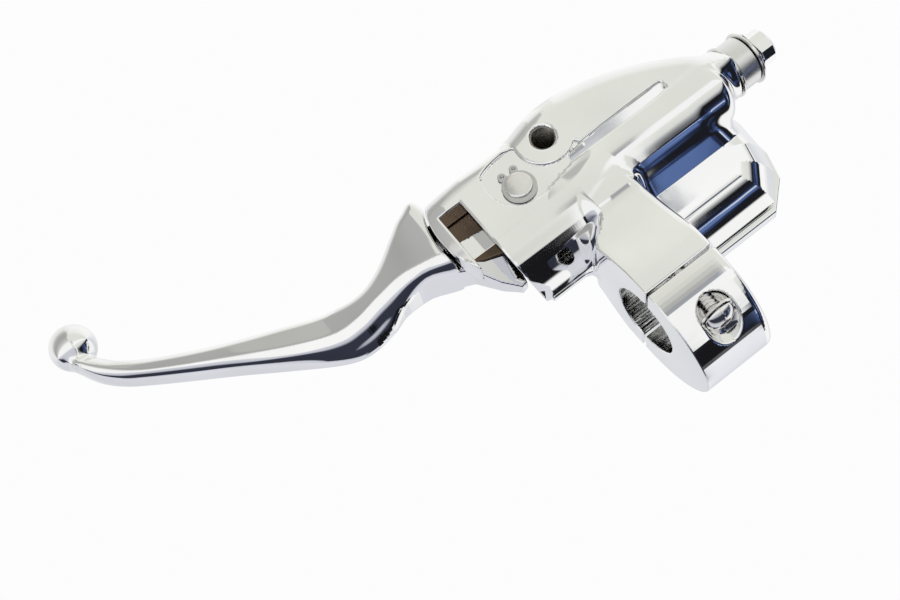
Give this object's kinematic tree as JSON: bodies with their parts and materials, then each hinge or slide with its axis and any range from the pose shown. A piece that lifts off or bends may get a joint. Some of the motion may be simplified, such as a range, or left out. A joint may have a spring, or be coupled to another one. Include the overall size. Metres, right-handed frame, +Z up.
{
  "type": "brake master cylinder",
  "caption": "Handlebar front brake master cylinder with lever, reservoir, split bar clamp, mirror boss and side banjo port, chrome finish.",
  "frame": {"origin": "centre of the handlebar bore, halfway along the clamp", "axes": "+X outboard along the handlebar, +Y forward, +Z up as mounted"},
  "size_m": [0.2562, 0.1523, 0.048],
  "materials": {
    "chrome": "polished chrome plate on cast metal",
    "satin_steel": "satin turned steel",
    "bright_steel": "bright zinc plated steel",
    "anodised": "anodised aluminium",
    "bronze": "sintered bronze",
    "rubber": "black brake-fluid-proof rubber",
    "clear_plastic": "clear moulded sight glass"
  },
  "bodies": {
    "housing": {"master_cylinder_body": "chrome", "reservoir_cover": "chrome", "reservoir_gasket": "rubber", "cover_screw_outboard": "bright_steel", "cover_screw_inboard": "bright_steel", "sight_glass": "clear_plastic", "sight_glass_seal": "rubber", "clamp_cap": "chrome", "clamp_screw_upper": "bright_steel", "clamp_screw_lower": "bright_steel", "clamp_washer_upper": "bright_steel", "clamp_washer_lower": "bright_steel", "banjo_bolt": "chrome", "banjo_washer_inner": "bright_steel", "banjo_washer_outer": "bright_steel", "banjo_spacer": "satin_steel", "pivot_pin": "bright_steel", "pivot_retaining_ring": "satin_steel", "piston_snap_ring": "satin_steel", "dust_wiper": "rubber", "return_spring": "bright_steel"},
    "piston_train": {"piston": "anodised", "primary_cup": "rubber", "secondary_cup": "rubber"},
    "lever": {"brake_lever": "chrome", "pivot_bushing": "bronze"},
    "reaction": {"reaction_pin": "bright_steel"}
  },
  "joints": [
    {"name": "lever_pivot", "type": "hinge", "parent": "housing", "child": "lever", "pos_m": [0.018, 0.0573, 0], "axis": [0, 0, -1], "range_deg": [0, 16], "stiffness_Nm_per_rad": 0.35, "springref_deg": -28.65},
    {"name": "piston_slide", "type": "slide", "parent": "housing", "child": "piston_train", "axis": [-1, 0, 0], "range_m": [0, 0.0036], "deforming": ["return_spring"]},
    {"name": "reaction_pin_swivel", "type": "hinge", "parent": "lever", "child": "reaction", "pos_m": [0.018, 0.045, 0], "axis": [0, 0, -1], "range_deg": [-16, 0]}
  ],
  "couplings": [
    {"joint": "piston_slide", "follows": "lever_pivot", "m_per_rad": 0.0123},
    {"joint": "reaction_pin_swivel", "follows": "lever_pivot", "ratio": -1}
  ]
}
